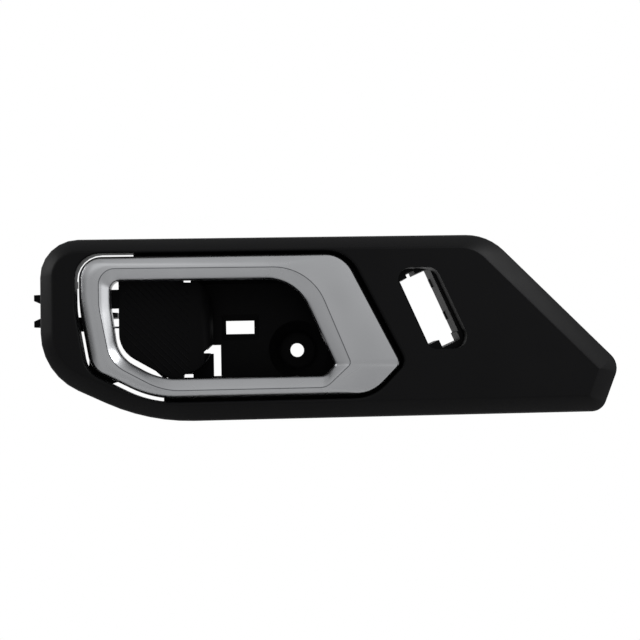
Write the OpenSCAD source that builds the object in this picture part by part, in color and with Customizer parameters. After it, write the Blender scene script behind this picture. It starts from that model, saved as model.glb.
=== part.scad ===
// Interior door handle with a ring lever, a finger bowl and a switch opening.
// Millimetres. X runs along the door, Z is up, Y runs into the door.
// The origin is the axis of the fixing screw at the rear face of its tower.

/* [Bezel] */
// Distance from the fixing screw to the left end
bezel_left = 112.5; // [110:0.5:125]
// Distance from the fixing screw up to the top edge
bezel_top = 49.3; // [48.5:0.5:58]
// Distance from the fixing screw down to the bottom edge
bezel_bottom = 30.7; // [29.5:0.5:38]
// Reach of the slanted right end
bezel_tip = 143.3; // [136:0.5:160]
// Height of the tip below the fixing screw
bezel_tip_drop = 9.4; // [4:0.5:14]
// Wall of the bezel
bezel_wall = 2.5; // [1.8:0.1:3]
// Depth of the bezel from its face to its rear edge
bezel_depth = 14; // [12:0.5:15.5]
// Width of the slope along the top and bottom edges
edge_slope = 6.6; // [4:0.2:7.4]
// Width of the slope along the slanted end
end_slope = 10; // [6:0.5:14]
// Height of the sloped edges below the face
slope_drop = 4.5; // [3:0.5:5]

/* [Lever] */
// Distance from the fixing screw to the left edge of the ring
lever_left = 94.4; // [92:0.2:96]
// Top edge of the ring above the fixing screw
lever_top = 41.2; // [40:0.2:42]
// Bottom edge of the ring below the fixing screw
lever_bottom = 20.9; // [20:0.2:21.6]
// Reach of the ring's right corner
lever_tip = 43.9; // [42:0.2:45]
// Gap between the ring and the bezel at the ends
end_gap = 2; // [1.5:0.1:2.4]
// Gap between the ring and the bezel above and below
side_gap = 1.3; // [1:0.1:1.6]
// Height of the ring's crease above the bezel face
crease_rise = 1.9; // [1:0.1:2.5]
// Wall of the plated shell
shell_wall = 1.8; // [1.4:0.1:2]
// Depth of the ring behind the bezel face
ring_depth = 8; // [7:0.2:8.2]
// Thickness of the black core plate in the ring
core_t = 3; // [2:0.2:3.4]
// Clearance of the core in the shell
core_gap = 0.15; // [0.1:0.05:0.3]
// Opening angle of the lever
lever_travel = 38; // [25:1:38]

/* [Hinge] */
// Distance from the fixing screw to the hinge axis
hinge_x = 86.5; // [86:0.1:87]
// Depth of the hinge axis behind the bezel face
hinge_depth = 6; // [5.6:0.1:6.2]
// Hinge pin diameter
pin_d = 3; // [2.4:0.1:3]
// Radial clearance of the lever on the pin
pin_gap = 0.05; // [0.02:0.01:0.1]
// Side clearance between the lugs and the ears
lug_gap = 0.4; // [0.3:0.05:0.6]
// Wire of the return spring
wire_d = 0.9; // [0.7:0.05:0.95]
// Turns of the return spring
spring_turns = 4; // [3:1:5]
// Length of the crank arm from the hinge axis to the cable seat
crank_len = 31; // [26:0.5:34]
// Thickness of the crank arm
crank_t = 2.3; // [2:0.1:3]
// Seat for the end of the release cable
cable_seat_d = 5.2; // [4:0.1:6]
// Gap between the fingers of the cable fork
fork_gap = 6.4; // [6:0.1:8]

/* [Bowl] */
// Depth of the bowl floor behind the bezel face
floor_depth = 26; // [22:0.5:27]
// Wall of the bowl
bowl_wall = 2.2; // [1.8:0.1:2.6]
// Depth of the thumb pad at its outer edge
pad_depth = 9.2; // [9:0.1:11]
// Fall of the thumb pad towards the floor
pad_fall = 5; // [3:0.5:7]
// Reach of the thumb pad from the fixing screw
pad_nose = 38.3; // [36:0.2:42]
// Diameter of the fixing hole
fix_d = 6.4; // [5:0.1:7]
// Diameter of the flat seat under the screw head
seat_d = 16; // [13:0.5:17]
// Diameter of the well round the seat
well_d = 26.8; // [24:0.2:28]
// Thickness of the tower floor under the screw head
seat_t = 3; // [2:0.2:4]
// Width of the window in the floor
window_w = 12.8; // [10:0.1:14]
// Height of the window in the floor
window_h = 6; // [5:0.1:8]
// Width of the upright slot in the floor
slot_w = 3.3; // [2.5:0.1:4]

/* [Switch opening] */
// Width of the switch opening across its slanted sides
switch_w = 18.1; // [16:0.2:19]
// Height of the switch opening
switch_h = 36; // [32:0.5:37]
// Slant of the switch opening from upright
switch_slant = 24; // [20:0.5:26]
// Depth of the pocket in front of the collar
pocket_depth = 7.6; // [5:0.2:9]
// Length of the collar behind the pocket
collar_len = 14.6; // [10:0.5:18]
// Width of the hole through the collar
collar_w = 14.6; // [12:0.1:14.8]
// Height of the hole through the collar
collar_h = 31; // [28:0.5:32]
// Wall of the collar
collar_wall = 1.9; // [1.4:0.1:2.2]

/* [Fasteners] */
// Core diameter of the bowl screws
screw_d = 2.2; // [1.8:0.1:2.4]
// Head diameter of the bowl screws
screw_head_d = 5; // [4.4:0.1:5.4]
// Boss diameter for the bowl screws
boss_d = 5.4; // [5:0.1:5.8]
// Core diameter of the shell screws
tiny_d = 1.5; // [1.2:0.1:1.6]
// Width of the clip towers
tower_w = 10; // [8:0.5:12]
// Thickness of the clip towers
tower_t = 3; // [2.6:0.1:3.6]
// Steel of the panel clips
clip_t = 0.6; // [0.5:0.05:0.8]
// Reach of the clip towers behind the bezel face
tower_depth = 27; // [22:0.5:30]

/* [Hidden] */
$fn = 48;
eps = 0.01;
over = 1;
seat_gap = 0.3;
arc_n = 6;

// The working frame looks at the front: x right, y up, z towards the viewer, zero at the tower's rear face.
front_z = 36;

// Corners of the bezel as x, y and radius, clockwise from the top left.
bezel_out = [[-bezel_left, bezel_top, 16.4],
    [bezel_tip - bezel_top - bezel_tip_drop + 0.3, bezel_top, 24],
    [bezel_tip, -bezel_tip_drop, 8],
    [bezel_tip - 0.41 * (bezel_bottom - bezel_tip_drop), -bezel_bottom, 7],
    [-66.6, -bezel_bottom, 88],
    [-bezel_left, 21.7 - bezel_bottom, 28]];
bezel_slopes = [edge_slope, end_slope, end_slope, edge_slope + 1, edge_slope + 1, edge_slope];
bezel_back_z = front_z - bezel_depth;
slope_z = front_z - slope_drop;

// Corners of the ring's outer edge, its crease and its finger opening.
lever_out = [[-lever_left, lever_top, 9], [lever_tip - 24.5, lever_top, 14], [lever_tip, -7.6, 4],
    [lever_tip - 13.3, -lever_bottom, 18], [-63.8, -lever_bottom, 45],
    [4.1 - lever_left, 13.6 - lever_bottom, 10], [-lever_left, 17, 45]];
lever_crease = [[-86.4, lever_top - 5.6, 7], [lever_tip - 39.4, lever_top - 6, 24],
    [lever_tip - 22.3, -7.2, 2.5], [lever_tip - 33.4, 3.6 - lever_bottom, 7], [-59.6, 3.6 - lever_bottom, 30],
    [4.6 - 86.4, -5.1, 15], [-86.4, 19.5, 40]];
lever_in = [[-82, lever_top - 10.4, 4.2], [lever_tip - 45.3, lever_top - 10.5, 20],
    [lever_tip - 28.7, -7.2, 2], [lever_tip - 33.3, 8.6 - lever_bottom, 5], [-61.2, 8.7 - lever_bottom, 30],
    [3 - 82, -2.1, 15], [-82, 20, 40]];
ring_back_z = front_z - ring_depth;
crease_z = front_z + crease_rise;
edge_z = front_z - 0.5;
hinge_z = front_z - hinge_depth;
roll_r = lever_left - hinge_x;
// The lower left side gets more room, because the ring swings past it.
opening_gaps = [side_gap, end_gap + 0.2, side_gap, side_gap, side_gap + 0.6, end_gap + 0.2, end_gap + 0.4];
opening = inset(lever_out, -opening_gaps);
rim_wall = 1.8;
floor_t = 1.6;
rim_back_z = ring_back_z - 1;

// The bowl: flange, cavity at its rim and at its floor, and the body behind the ring.
flange_z = rim_back_z - 0.5;
flange_t = 2.5;
floor_z = front_z - floor_depth;
rim_in = [[-52, lever_top - 4.2, 10], [lever_tip - 32.9, lever_top - 4.2, 16], [lever_tip - 9.4, -9.5, 6],
    [lever_tip - 18.9, 2.8 - lever_bottom, 12], [-46, 2.8 - lever_bottom, 6], [-52, -13.5, 6]];
floor_in = [[-48.5, lever_top - 10.7, 9], [lever_tip - 41.9, lever_top - 10.7, 18],
    [lever_tip - 23.5, -9.5, 8], [lever_tip - 29, 5.4 - lever_bottom, 8], [-44, 5.4 - lever_bottom, 5],
    [-48.5, -12, 5]];
body_out = [[-79.1, lever_top - 3.2, 7], [lever_tip - 24.4, lever_top - 1.2, 12], [lever_tip - 0.9, -8.5, 6],
    [lever_tip - 14.4, -lever_bottom, 14], [-45, 1.4 - lever_bottom, 18], [-79.1, 0.5, 13]];
pad_left = 79.1;
pad_z = front_z - pad_depth;
nose_out = [[-60, lever_top - 7.2, 1], [-pad_nose, lever_top - 7.2, 16], [-pad_nose, 9.9 - lever_bottom, 16],
    [-60, 9.9 - lever_bottom, 1]];
window_x = -26.2;
window_y = 10.7;
slot_x = -36.8;
slot_y = 2.8;
slot_low = -11.25;

// Stations along the hinge axis.
ear_up = [19.2, 27.4];
ear_low = [-1.8, 1.6];
lug_up = [13.2, ear_up[0] - lug_gap];
lug_low = [ear_low[1] + lug_gap, 5.4];
spring_y = [lug_low[1] + 0.9, lug_up[0] - 1.6];
ear_r = 2.4;
lug_r = 2.5;
root_r = 5.2;
stem = 0.6;
pin_low = ear_low[0] + 0.8;
pin_top = ear_up[1] + 1.4;
frame_t = 3;
crank_y = 15.8;
seat_y = 19.7;
seat_half = 4.4;
crank_z = hinge_z - crank_len;
crank_x = -hinge_x - 4;
nose_x = 5.4;
stop_gap = 0.35;
stop_t = 2.2;
spine_x = [-95.6, -90.4];
spine_z = [8, 20.4];
fork_x = -114.5;
fork_z = [-7, 8];
fork_t = 3;
fork_finger = 4.3;
fork_reach = 4.6;
fork_flare = 1.4;
spine_t = 2.4;
beam_y = [10.2, 16.6];

// Where the screws, bumpers and clips sit: x, y.
bowl_screws = [[32, 40], [54, -14], [-104, 13.4], [-91.5, -12]];
bowl_screw_seats = [flange_z - flange_t, flange_z - flange_t, spine_z[0] - frame_t, spine_z[1] - frame_t];
screw_plate_t = [flange_t, flange_t, frame_t, frame_t];
shell_screws = [[27.5, -1], [12, 31], [-45, 36.1], [-45, -16.6]];
bumpers = [[23.6, 23], [35.4, -3]];
bumper_r = 2;
clips = [[-104, 31], [74, 40], [122, -8], [84, -21]];

// Small helpers for plane vectors.
function unit(v) = v / norm(v);
function right_of(u) = [u[1], -u[0]];
function dir_in(c, i) = unit([for (k = [0:1]) c[i][k] - c[(i + len(c) - 1) % len(c)][k]]);
function dir_out(c, i) = dir_in(c, (i + 1) % len(c));
function turn(c, i) = acos(max(-1, min(1, dir_in(c, i) * dir_out(c, i))));

// Points of an outline with rounded corners, listed clockwise.
function arc_point(c, i, k) =
    let (r = c[i][2], u = dir_in(c, i), n = right_of(u), a = turn(c, i), t = r * tan(a / 2),
        centre = [c[i][0], c[i][1]] - u * t + n * r, start = atan2(-n[1], -n[0]))
    centre + r * [cos(start - a * k / arc_n), sin(start - a * k / arc_n)];
function rounded(c) = [for (i = [0:len(c) - 1]) for (k = [0:arc_n]) arc_point(c, i, k)];

// The same corners moved in by one distance for each side, which starts at the corner of its number.
function gap_of(d, i) = is_list(d) ? d[i] : d;
function inset_corner(c, d, i) =
    let (n = right_of(dir_in(c, i)), m = right_of(dir_out(c, i)), j = (i + len(c) - 1) % len(c),
        a = gap_of(d, j), b = gap_of(d, i), det = n[0] * m[1] - n[1] * m[0])
    [c[i][0] + (a * m[1] - b * n[1]) / det, c[i][1] + (n[0] * b - m[0] * a) / det,
        max(c[i][2] - (a + b) / 2, 0.4)];
function inset(c, d) = [for (i = [0:len(c) - 1]) inset_corner(c, d, i)];
function between(a, b, t) = [for (i = [0:len(a) - 1]) a[i] * (1 - t) + b[i] * t];

// Solid through outlines with equal point counts, each given as corners and a height, from low to high.
// The flat ends fan out from the point numbered first.
function ring_points(rings) = [for (r = rings) for (p = rounded(r[0])) [p[0], p[1], r[1]]];
function wall_faces(n, rows, total) =
    [for (i = [0:rows - 1]) for (j = [0:n - 1])
        let (a = i * n + j, b = i * n + (j + 1) % n, c = ((i + 1) % total) * n + (j + 1) % n,
            d = ((i + 1) % total) * n + j)
        each [[a, b, c], [a, c, d]]];
module loft(rings, first = 0) {
    n = len(rings[0][0]) * (arc_n + 1);
    m = len(rings);
    polyhedron(ring_points(rings), concat(wall_faces(n, m - 1, m),
        [[for (j = [0:n - 1]) (2 * n - 1 + first - j) % n]],
        [[for (j = [0:n - 1]) (m - 1) * n + (j + first) % n]]), convexity = 6);
}
module closed_loft(rings) {
    n = len(rings[0][0]) * (arc_n + 1);
    m = len(rings);
    polyhedron(ring_points(rings), wall_faces(n, m, m), convexity = 8);
}
module prism(c, z0, z1) translate([0, 0, z0]) linear_extrude(z1 - z0) polygon(rounded(c));
module block(x, y, z) translate([x[0], y[0], z[0]]) cube([x[1] - x[0], y[1] - y[0], z[1] - z[0]]);

// A plane shape in x and z, carried along y; a round bar along y; and the frame of the whole part.
module along_y(y) translate([0, y[1], 0]) rotate([90, 0, 0]) linear_extrude(y[1] - y[0]) children();
module bar_y(x, z, y, r) translate([x, y[1], z]) rotate([90, 0, 0]) cylinder(h = y[1] - y[0], r = r);
module on_door() rotate([90, 0, 0]) children();

// Bezel
module bezel_form() loft([[bezel_out, bezel_back_z], [bezel_out, slope_z - 2.5],
    [inset(bezel_out, 0.9), slope_z],
    [inset(bezel_out, bezel_slopes - [for (s = bezel_slopes) 1]), front_z - 0.35],
    [inset(bezel_out, bezel_slopes), front_z]]);
module bezel_hollow() loft([[inset(bezel_out, bezel_wall), bezel_back_z - over],
    [inset(bezel_out, bezel_wall), slope_z - 3.2],
    [inset(bezel_out, bezel_slopes + [for (s = bezel_slopes) 0.6]), front_z - bezel_wall]]);

// Room for the towers and bosses, which end inside the sloped edges.
module bezel_core() loft([[inset(bezel_out, 1.2), -over], [inset(bezel_out, 1.2), slope_z - 3],
    [inset(bezel_out, bezel_slopes + [for (s = bezel_slopes) 0.3]), front_z - 1.2]]);

// Corners of the switch opening, with slanted sides and level ends.
switch_mid = [58.1, 16.4];
function switch_corners(d) =
    let (h = switch_h / 2 - 0.45 * d, w = (switch_w / 2 - d) / cos(switch_slant),
        s = tan(switch_slant) * h, r = max(5.5 - d, 1.5))
    [[switch_mid[0] - s - w, switch_mid[1] + h, r], [switch_mid[0] - s + w, switch_mid[1] + h, r],
        [switch_mid[0] + s + w, switch_mid[1] - h, r], [switch_mid[0] + s - w, switch_mid[1] - h, r]];
pocket_z = front_z - pocket_depth;
collar_z = pocket_z - collar_len;
pocket_draft = 0.35;
collar_mid = switch_mid + [-0.4, 1.3];
module in_collar() translate([collar_mid[0], collar_mid[1], 0]) rotate(switch_slant - 0.5) children();
// The snap-in collar: an upright box with a wide notch below and a narrow one above.
module collar_shape(d) {
    square([collar_w + 2 * d, collar_h + 2 * d], center = true);
    translate([-2.2 - d, -collar_h / 2 - 3.7 - d]) square([8.8 + 2 * d, 5 + 2 * d]);
    translate([-3.6 - d, collar_h / 2 - 1]) square([4 + 2 * d, 2.8 + d]);
}
module switch_housing() {
    loft([[switch_corners(pocket_draft - rim_wall), pocket_z - floor_t],
        [switch_corners(-rim_wall), front_z - 1]]);
    translate([0, 0, collar_z]) linear_extrude(collar_len) in_collar() collar_shape(collar_wall);
}
module switch_cut() {
    loft([[switch_corners(pocket_draft), pocket_z], [switch_corners(-0.05), front_z + over]]);
    translate([0, 0, collar_z - over]) linear_extrude(collar_len + 2 * over) in_collar() collar_shape(0);
}
// Snap ribs on the long walls of the collar.
module switch_ribs() in_collar() for (side = [-1, 1]) for (y = [-9, 7])
    block([side * collar_w / 2 - 0.5, side * collar_w / 2 + 0.5], [y, y + 4], [collar_z + 2, collar_z + 4]);
module screw_boss(i) {
    z0 = bowl_screw_seats[i] + screw_plate_t[i];
    translate([bowl_screws[i][0], bowl_screws[i][1], z0]) cylinder(h = front_z - 1.2 - z0, d = boss_d);
}
module clip_tower(i) {
    block([clips[i][0] - tower_w / 2, clips[i][0] + tower_w / 2],
        [clips[i][1] - tower_t / 2, clips[i][1] + tower_t / 2], [front_z - tower_depth, front_z - 1.2]);
    for (k = [-1, 1]) block([clips[i][0] + k * tower_w / 2 - 0.8, clips[i][0] + k * tower_w / 2 + 0.8],
        [clips[i][1] - 3, clips[i][1] + 3], [bezel_back_z, front_z - 1.2]);
}
// Stiffening ribs behind the face, right of the switch opening and in the left end.
module face_ribs() {
    rib_z = [front_z - 8, front_z - 1];
    for (x = [88, 102, 116]) block([x, x + 1.4], [-bezel_bottom, bezel_top], rib_z);
    block([78, bezel_tip], [-1, 0.4], rib_z);
    block([-bezel_left, -99], [22, 23.4], rib_z);
}
module bezel() color([0.09, 0.09, 0.1]) on_door() difference() {
    union() {
        difference() {
            bezel_form();
            bezel_hollow();
        }
        intersection() {
            bezel_form();
            union() {
                prism(inset(opening, -rim_wall), rim_back_z, front_z - 1);
                face_ribs();
                switch_housing();
            }
        }
        intersection() {
            bezel_core();
            union() {
                switch_housing();
                for (i = [0:3]) screw_boss(i);
                for (i = [0:3]) clip_tower(i);
            }
        }
    }
    prism(opening, bezel_back_z - over, front_z + over);
    difference() {
        switch_cut();
        switch_ribs();
    }
    for (i = [0:3]) translate([bowl_screws[i][0], bowl_screws[i][1], bowl_screw_seats[i]])
        cylinder(h = screw_plate_t[i] + 7, d = screw_d);
}

// Finger bowl
flange_left = -72.5;
flange_right = inset(lever_out, -5.2);
module flange_shape() {
    intersection() {
        polygon(rounded(flange_right));
        polygon([[flange_left, 60], [60, 60], [60, -40], [-60, -40], [-60, -12], [flange_left, 0]]);
    }
    for (i = [0:1]) translate(bowl_screws[i]) circle(d = boss_d + 2.4);
    translate([28, 34]) square([6, 6]);
    translate([42, -16]) square([10, 6]);
}
// Side view of the pad: a gentle fall from the left edge, then a rounded drop to the floor.
nose_r = 7;
function pad_top(x) = pad_z - pad_fall * (x + pad_left) / (pad_left - pad_nose);
module pad_profile(cut) {
    x1 = -pad_nose - cut;
    z1 = pad_top(x1 - nose_r) - cut;
    polygon(concat([[-pad_left - (cut > 0 ? over : 0), floor_z - bowl_wall - over],
        [-pad_left - (cut > 0 ? over : 0), pad_z - cut]],
        [for (k = [0:8]) [x1 - nose_r + nose_r * sin(k * 90 / 8), z1 - nose_r + nose_r * cos(k * 90 / 8)]],
        [[x1, floor_z - bowl_wall - over]]));
}
skirt_z = 19.5;
module pad_plan(cut, end) {
    intersection() {
        polygon(rounded(inset(body_out, cut)));
        translate([-pad_left - over, -40]) square([pad_left - end + over, 100]);
    }
    polygon(rounded(inset(nose_out, cut)));
}
plate_end = 56;
module pad_form() intersection() {
    translate([0, 0, floor_z - bowl_wall / 2]) linear_extrude(floor_depth) pad_plan(0, 52);
    along_y([-40, 60]) pad_profile(0);
}
// The flange ends at the ring's inner edge, so that nothing stands on the pad.
module pad_clear() intersection() {
    prism(inset(lever_in, -1.2), floor_z, flange_z + over);
    along_y([-40, 60]) polygon([[-pad_left - over, pad_top(-pad_left - over) - 0.3], [-51, pad_top(-51) - 0.3],
        [-51, flange_z + 2], [-pad_left - over, flange_z + 2]]);
}
// The pad is open from behind, so that the crank arm can swing under it.
module pad_hollow() {
    intersection() {
        translate([0, 0, -over]) linear_extrude(front_z) pad_plan(bowl_wall, plate_end);
        along_y([-40, 60]) pad_profile(bowl_wall);
    }
    block([-pad_left - over, -plate_end], [-60, 60], [-2 * over, skirt_z]);
    block([-pad_left - over, -70], [-1, lever_top - 12], [-2 * over, pad_z - bowl_wall - 0.3]);
}
basin_z = floor_z - bowl_wall;
module basin_form() loft([[inset(floor_in, -bowl_wall), basin_z], [inset(rim_in, -bowl_wall), flange_z]], 16);
module basin_hollow()
    loft([[floor_in, floor_z], [inset(floor_in, -0.8), floor_z + 1.2], [rim_in, flange_z + eps]], 16);
module tower() {
    cylinder(h = floor_z - 1, d = seat_d + 2 * bowl_wall);
    translate([0, 0, floor_z - 6]) cylinder(h = 5.4, d1 = seat_d + 2 * bowl_wall - 0.2, d2 = well_d + 2.4);
    for (a = [45:90:315]) rotate([0, 0, a])
        block([seat_d / 2, seat_d / 2 + 6], [-0.8, 0.8], [2, floor_z - 1]);
}
module tower_cut() {
    translate([0, 0, seat_t]) cylinder(h = floor_depth, d = seat_d);
    translate([0, 0, floor_z - 4.2]) cylinder(h = 4.2 + eps, d1 = seat_d, d2 = well_d);
    translate([0, 0, -over]) cylinder(h = seat_t + 2 * over, d = fix_d);
}
module window_cut() {
    x = [window_x - window_w / 2, window_x + window_w / 2];
    y = [window_y - window_h / 2, window_y + window_h / 2];
    block(x, y, [-over, floor_z + over]);
    lip = 2.1;
    loft([[[[x[0], y[1], 0.4], [x[1], y[1], 0.4], [x[1], y[0], 0.4], [x[0], y[0], 0.4]], floor_z - 1.4],
        [[[x[0] - lip, y[1] + lip + 0.8, 0.4], [x[1] + lip, y[1] + lip + 0.8, 0.4],
        [x[1] + lip, y[0] - lip - 0.8, 0.4], [x[0] - lip, y[0] - lip - 0.8, 0.4]], floor_z + eps]]);
}
// Upright slot with a slanted head, and the two relief holes beside the pad's nose.
module slot_cuts() {
    x0 = slot_x - slot_w / 2;
    translate([0, 0, -over]) linear_extrude(front_z) polygon([[x0, slot_low], [x0, slot_y - 3.9],
        [x0 - 4, slot_y - 3.9], [x0 - 4, slot_y - 3.2], [x0 - 0.5, slot_y], [x0 + slot_w, slot_y],
        [x0 + slot_w, slot_low]]);
    for (y = [[30.4, 33.6], [-11.7, -10.2]]) block([-51.6, -47.8], y, [-over, front_z]);
}
module ear(y) {
    along_y(y) translate([-hinge_x, hinge_z]) {
        circle(r = ear_r);
        translate([-stem, -root_r]) square([ear_r + stem, root_r]);
        intersection() {
            circle(r = root_r);
            translate([0, -root_r]) square([root_r, root_r - 2.4]);
        }
    }
}
module hinge_frame() {
    ear(ear_up);
    ear(ear_low);
    // Bridge from the upper ear to the pad.
    along_y(ear_up) polygon([[-hinge_x, hinge_z - 3.2], [-pad_left + 2, pad_z - 0.6],
        [-pad_left + 2, pad_z - bowl_wall], [-hinge_x, hinge_z - 7]]);
    // Webs from both ears down to the spine behind the left limb.
    for (y = [ear_up, ear_low]) along_y(y)
        polygon([[-hinge_x - stem, hinge_z - 4], [-hinge_x + 3, hinge_z - 4],
            [-hinge_x + 3, spine_z[1] - frame_t], [spine_x[0] + 3.4, spine_z[1] - frame_t],
            [spine_x[0] + 3.4, spine_z[1]],
            [-hinge_x - stem, spine_z[1]]]);
    block(spine_x, [beam_y[0], ear_up[1]], [spine_z[1] - frame_t, spine_z[1]]);
    block([spine_x[0], spine_x[0] + spine_t], [beam_y[0], ear_up[1]], spine_z);
    // Lower strip behind the ring's lower left limb, out to the bezel and back to the basin.
    translate([0, 0, spine_z[1] - frame_t]) linear_extrude(frame_t) {
        polygon([[-92.4, 12], [-86, 12], [-83.5, 2], [-80.5, -4.5], [-70, -10.6], [-58, -13.6],
            [-50.4, -15.2], [-50.4, -18], [-58, -18.8], [-69, -16.4], [-79, -12.6], [-82, -13.4],
            [-88, -15.4], [-95, -12.5],
            [-93, -5]]);
        translate(bowl_screws[3]) circle(d = boss_d + 0.6);
    }
    cable_fork();
    stop_rib();
}
// Stop for the crank arm under the pad, square to the arm when the lever is fully open.
module in_open_lever() translate([-hinge_x, hinge_z]) rotate(lever_travel) children();
module stop_rib() along_y([crank_y - 1, crank_y + crank_t + 1]) intersection() {
    pad_profile(0.8);
    in_open_lever() translate([nose_x + stop_gap + stop_t, -24.5]) square([2.4, 20]);
}
module cable_fork() {
    half = fork_gap / 2;
    outer = half + fork_finger;
    block([fork_x - fork_t / 2, spine_x[0] + spine_t], beam_y, [spine_z[0] - frame_t, spine_z[0]]);
    along_y([beam_y[0], beam_y[0] + 1.8])
        polygon([[fork_x, spine_z[0] - 1], [fork_x + 7, spine_z[0] - frame_t], [fork_x, 0]]);
    difference() {
        block([fork_x - fork_t / 2, fork_x + fork_t / 2], [seat_y - outer, seat_y + outer], fork_z);
        block([fork_x - fork_t, fork_x + fork_t], [seat_y - half, seat_y + half], [fork_z[0] - over, 1.5]);
    }
    for (side = [-1, 1]) translate([0, 0, spine_z[0] - 3.4]) linear_extrude(3.4)
        polygon([[fork_x, seat_y + side * half], [fork_x - fork_t / 2, seat_y + side * half],
            [fork_x - fork_reach, seat_y + side * (half + fork_flare)],
            [fork_x - fork_reach, seat_y + side * (outer - 0.2)], [fork_x, seat_y + side * outer]]);
}
module rear_ribs() {
    for (x = [-14, -2, 16]) block([x, x + 1.6], [12, lever_top - 9], [floor_z - 5, floor_z - 1]);
    block([-44, 20], [23, 24.6], [floor_z - 5, floor_z - 1]);
}
module bumper_seat(i) translate([bumpers[i][0], bumpers[i][1], flange_z - 2.2]) cylinder(h = 3, r = bumper_r);
module finger_bowl() color([0.07, 0.07, 0.075]) on_door() difference() {
    union() {
        difference() {
            union() {
                difference() {
                    union() {
                        translate([0, 0, flange_z - flange_t]) linear_extrude(flange_t) flange_shape();
                        basin_form();
                    }
                    basin_hollow();
                    pad_clear();
                }
                pad_form();
            }
            pad_hollow();
        }
        tower();
        rear_ribs();
        hinge_frame();
    }
    tower_cut();
    window_cut();
    slot_cuts();
    bar_y(-hinge_x, hinge_z, [pin_low, ear_up[1] + over], pin_d / 2);
    for (i = [0:1]) bumper_seat(i);
    for (i = [0:3]) translate([bowl_screws[i][0], bowl_screws[i][1], bowl_screw_seats[i] - over])
        cylinder(h = 3 + 2 * over, d = screw_d + 0.6);
}

// Ring lever: the plated shell is one closed section carried round the finger opening.
function rolled(c, dz) =
    let (d = roll_r - sqrt(max(roll_r * roll_r - dz * dz, 0)))
    inset(c, [0.1 * dz / 4, 0.1 * dz / 4, 0.1 * dz / 4, 0.1 * dz / 4, 0.1 * dz / 4, d, d]);
upper_edge = inset(rolled(lever_out, edge_z - hinge_z), [0.6, 0.6, 0.6, 0.6, 0.6, 0, 0]);
cavity_out = inset(lever_out, shell_wall);
cavity_in = inset(lever_in, -shell_wall);
cavity_z = edge_z - 2.9;
module lever_shell() color([0.72, 0.73, 0.75]) on_door() difference() {
    union() {
        closed_loft([[lever_out, ring_back_z], [rolled(lever_out, 1), hinge_z + 1],
            [rolled(lever_out, 3.5), hinge_z + 3.5], [upper_edge, edge_z],
            [between(upper_edge, lever_crease, 0.5), crease_z - 0.8], [lever_crease, crease_z],
            [inset(lever_in, -0.3), front_z - 1.4], [lever_in, front_z - 2], [lever_in, ring_back_z],
            [cavity_in, ring_back_z], [cavity_in, cavity_z], [lever_crease, crease_z - 1.9],
            [inset(cavity_out, [0, 0, 0, 0, 0, 1, 1]), cavity_z], [cavity_out, ring_back_z + core_t + 0.3],
            [cavity_out, ring_back_z]]);
        for (p = shell_screws) translate([p[0], p[1], ring_back_z + core_t])
            cylinder(h = cavity_z + 2 - ring_back_z - core_t, r = 2.1);
    }
    for (p = shell_screws) translate([p[0], p[1], ring_back_z + core_t - over])
        cylinder(h = 4 + over, d = tiny_d);
}

// The black core: a plate in the back of the ring with the two hinge lugs and the crank arm.
core_out = inset(lever_out, shell_wall + core_gap);
core_in = inset(lever_in, -shell_wall - core_gap);
module lug(y) along_y(y) difference() {
    union() {
        translate([-hinge_x, hinge_z]) circle(r = lug_r);
        translate([-hinge_x - lug_r, ring_back_z]) square([2 * lug_r, hinge_z - ring_back_z]);
    }
    translate([-hinge_x, hinge_z]) circle(d = pin_d + 2 * pin_gap);
}
module crank() {
    along_y([crank_y, crank_y + crank_t]) polygon([[-hinge_x - lug_r, hinge_z], [-hinge_x + lug_r, hinge_z],
        [-hinge_x + lug_r, ring_back_z], [-hinge_x + 1.6, ring_back_z - 1.5], [-hinge_x + 1.6, 17.5],
        [-hinge_x + nose_x, 13], [-hinge_x + nose_x, 5.5], [crank_x + 3.8, crank_z], [crank_x - 3.8, crank_z],
        [-hinge_x - lug_r, 15]]);
    // Clevis that takes the cable end.
    bar_y(crank_x, crank_z, [crank_y, seat_y + seat_half], 3.8);
}
module lever_core() color([0.08, 0.08, 0.085]) on_door() difference() {
    union() {
        difference() {
            prism(core_out, ring_back_z, ring_back_z + core_t);
            prism(core_in, ring_back_z - over, ring_back_z + core_t + over);
            // Room for the ears and the spring.
            room_z = [ring_back_z - over, front_z];
            block([-hinge_x - 8, -hinge_x + 3.3], [ear_low[0] - lug_gap, lug_low[0]], room_z);
            block([-hinge_x - 2.7, -hinge_x + 5], [lug_low[1], lug_up[0]], room_z);
            block([-hinge_x - 8, -hinge_x + 5], [lug_up[1], pin_top + 1], room_z);
        }
        lug(lug_up);
        lug(lug_low);
        crank();
    }
    bar_y(-hinge_x, hinge_z, [lug_low[0] - over, lug_up[1] + over], pin_d / 2 + pin_gap);
    bar_y(crank_x, crank_z, [seat_y - seat_half + 1, seat_y + seat_half + over], cable_seat_d / 2);
    block([crank_x - 6, crank_x], [seat_y - 1, seat_y + 1], [crank_z - 1, crank_z + 1]);
    for (p = shell_screws) translate([p[0], p[1], ring_back_z - over]) {
        cylinder(h = core_t + 2 * over, d = tiny_d + 0.5);
        cylinder(h = over + 1.2, d = 3.8);
    }
}

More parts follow.
